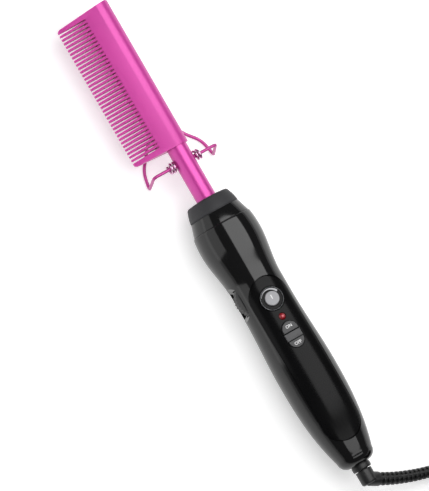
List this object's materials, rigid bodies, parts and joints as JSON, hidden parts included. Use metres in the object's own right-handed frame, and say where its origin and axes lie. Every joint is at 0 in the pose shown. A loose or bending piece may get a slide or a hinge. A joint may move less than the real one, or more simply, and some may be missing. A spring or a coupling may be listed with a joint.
{
  "type": "hot comb",
  "caption": "Electric hot comb with a heated metal comb, folding wire stand, temperature dial, thumb wheel, ON and OFF buttons and a swivelling mains lead.",
  "frame": {"origin": "middle of the flat under the handle's bulge, on which the comb rests", "axes": "+X along the handle's axis towards the comb's tip, +Y towards the teeth, +Z towards the side with the controls"},
  "size_m": [0.4027, 0.1333, 0.0395],
  "materials": {
    "magenta_paint": "satin painted aluminium",
    "gloss_black": "high-gloss moulded plastic",
    "panel_black": "high-gloss moulded plastic",
    "nose_grey": "matte moulded plastic",
    "soft_black": "matte moulded plastic",
    "button_black": "satin moulded plastic",
    "dial_silver": "satin metallised plastic",
    "dial_grey": "metallised ring",
    "white_mark": "white mark",
    "led_red": "clear red plastic",
    "spring_steel": "bright spring wire",
    "steel": "plain steel",
    "ceramic": "ceramic",
    "heater_grey": "insulated heating element",
    "wire_skin": "silicone-covered wire",
    "board_green": "circuit board",
    "brass": "brass",
    "cord_rubber": "matte flexible plastic"
  },
  "bodies": {
    "handle": {"comb_head": "magenta_paint", "neck_tube": "magenta_paint", "heater_rod": "heater_grey", "heater_sleeve": "ceramic", "thermal_fuse": "steel", "heat_sensor": "ceramic", "heater_leads": "wire_skin", "heat_washer": "ceramic", "nose_cap": "nose_grey", "collar_ring": "gloss_black", "front_shell": "gloss_black", "back_shell": "gloss_black", "shell_screws": "steel", "control_panel": "panel_black", "dial_bezel": "dial_grey", "dial_potentiometer": "soft_black", "power_led": "led_red", "button_bar": "button_black", "button_switches": "soft_black", "circuit_board": "board_green", "wheel_post": "steel", "stand_springs": "spring_steel", "tail_collar": "soft_black", "contact_brushes": "brass", "supply_leads": "wire_skin"},
    "dial": {"temperature_dial": "dial_silver", "dial_pointer": "white_mark"},
    "on_key": {"on_button": "button_black"},
    "off_key": {"off_button": "button_black"},
    "wheel": {"thumb_wheel": "soft_black"},
    "stand": {"stand_wire": "magenta_paint"},
    "swivel": {"swivel_body": "soft_black", "slip_rings": "brass", "strain_relief": "cord_rubber", "cord_run": "cord_rubber", "cord_coil": "cord_rubber", "cord_tail": "cord_rubber", "coil_tie": "soft_black", "plug_body": "cord_rubber", "plug_blades": "brass"}
  },
  "joints": [
    {"name": "dial_turn", "type": "hinge", "parent": "handle", "child": "dial", "pos_m": [-0.0408, 0, 0.0185], "axis": [0, 0, 1], "range_deg": [-135, 135]},
    {"name": "wheel_turn", "type": "hinge", "parent": "handle", "child": "wheel", "pos_m": [-0.0345, 0.0057, 0.0185], "axis": [0, 0, 1], "range_deg": [-135, 135]},
    {"name": "on_press", "type": "slide", "parent": "handle", "child": "on_key", "axis": [0, 0, -1], "range_m": [0, 0.0006], "stiffness_N_per_m": 1500},
    {"name": "off_press", "type": "slide", "parent": "handle", "child": "off_key", "axis": [0, 0, -1], "range_m": [0, 0.0006], "stiffness_N_per_m": 1500},
    {"name": "stand_fold", "type": "hinge", "parent": "handle", "child": "stand", "pos_m": [0.0524, 0, 0.0185], "axis": [0, 1, 0], "range_deg": [-18, 105]},
    {"name": "swivel_turn", "type": "hinge", "parent": "handle", "child": "swivel", "pos_m": [-0.1502, 0, 0.0185], "axis": [1, 0, 0], "continuous": true}
  ]
}
